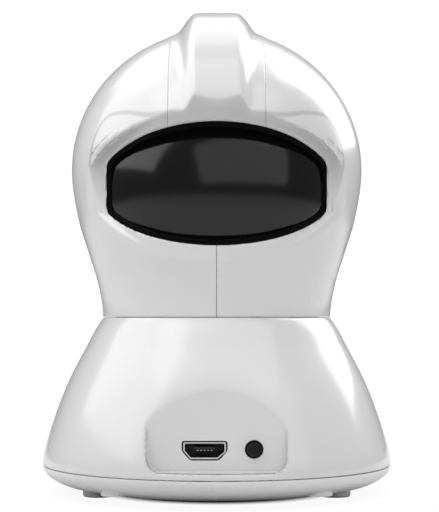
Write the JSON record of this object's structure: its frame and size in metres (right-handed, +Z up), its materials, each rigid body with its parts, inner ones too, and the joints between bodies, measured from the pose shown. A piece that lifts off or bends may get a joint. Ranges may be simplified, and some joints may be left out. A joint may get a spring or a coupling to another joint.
{
  "type": "baby monitor camera",
  "caption": "Desktop baby monitor camera with a turning domed head, a tilting camera eye behind an oval window, and a flared base.",
  "frame": {"origin": "centre of the base on the floor, under the pan axis", "axes": "+Z up along the pan axis, -Y the way the lens looks, +Y towards the connector face at the back"},
  "size_m": [0.0712, 0.0712, 0.098],
  "materials": {
    "white_casing": "gloss",
    "white_cover": "semi-gloss",
    "white_crest": "gloss",
    "bezel_black": "satin",
    "visor_black": "high gloss",
    "eye_black": "high gloss",
    "smoked_window": "polished, smoked",
    "foot_rubber": "matt",
    "button_black": "matt",
    "black_plastic": "matt",
    "cream_plastic": "matt",
    "gear_plastic": "satin",
    "washer_plastic": "satin",
    "chip_resin": "matt",
    "led_resin": "clear",
    "cone_film": "satin",
    "wire_sleeve": "satin",
    "circuit_board": "solder mask",
    "screw_steel": "plated",
    "socket_steel": "plated",
    "motor_metal": "plated",
    "magnet_metal": "plated",
    "shield_metal": "tinned",
    "heat_sink_metal": "anodised",
    "gold_contacts": "plated",
    "lens_glass": "coated",
    "filter_glass": "coated"
  },
  "bodies": {
    "base": {"base_shell": "white_casing", "bottom_cover": "white_cover", "rubber_feet": "foot_rubber", "cover_screws": "screw_steel", "main_board": "circuit_board", "board_screws": "screw_steel", "usb_socket": "socket_steel", "usb_tongue": "black_plastic", "usb_contacts": "gold_contacts", "reset_switch": "black_plastic", "soc_chip": "chip_resin", "heat_sink": "heat_sink_metal", "wifi_module": "shield_metal", "antenna_board": "circuit_board", "board_connector": "cream_plastic", "speaker_basket": "black_plastic", "speaker_cone": "cone_film", "speaker_magnet": "magnet_metal", "pan_motor": "motor_metal", "motor_screws": "screw_steel"},
    "reset_button": {"reset_button": "button_black", "switch_plunger": "cream_plastic"},
    "pinion": {"pan_pinion": "gear_plastic", "motor_shaft": "screw_steel"},
    "head": {"turntable": "gear_plastic", "thrust_washer": "washer_plastic", "pan_gear": "gear_plastic", "retaining_clip": "screw_steel", "turntable_screws": "screw_steel", "wire_harness": "wire_sleeve", "head_shell_left": "white_casing", "head_shell_right": "white_casing", "crest": "white_crest", "front_bezel": "bezel_black", "rear_bezel": "bezel_black", "rear_visor": "visor_black", "tilt_bush": "washer_plastic", "tilt_motor_shaft": "screw_steel"},
    "eye": {"eye_front": "eye_black", "eye_rear": "eye_black", "lens_window": "smoked_window", "tilt_trunnion": "gear_plastic", "tilt_motor": "motor_metal", "camera_bracket": "black_plastic", "sensor_board": "circuit_board", "sensor_screws": "screw_steel", "lens_holder": "black_plastic", "image_sensor": "chip_resin", "lens_barrel": "black_plastic", "front_lens_element": "lens_glass", "infrared_filter": "filter_glass", "ir_board": "circuit_board", "ir_leds": "led_resin", "light_sensor": "led_resin"}
  },
  "joints": [
    {"name": "head_pan", "type": "hinge", "parent": "base", "child": "head", "pos_m": [0, 0, 0.0288], "axis": [0, 0, 1], "range_deg": [-175, 175]},
    {"name": "eye_tilt", "type": "hinge", "parent": "head", "child": "eye", "pos_m": [0, 0, 0.0614], "axis": [1, 0, 0], "range_deg": [-25, 25]},
    {"name": "pinion_spin", "type": "hinge", "parent": "base", "child": "pinion", "pos_m": [0, -0.015, 0.0288], "axis": [0, 0, 1], "range_deg": [-710, 710]},
    {"name": "reset_press", "type": "slide", "parent": "base", "child": "reset_button", "axis": [0, -1, 0], "range_m": [0, 0.0003], "stiffness_N_per_m": 2000}
  ],
  "couplings": [
    {"joint": "pinion_spin", "follows": "head_pan", "ratio": -4}
  ]
}
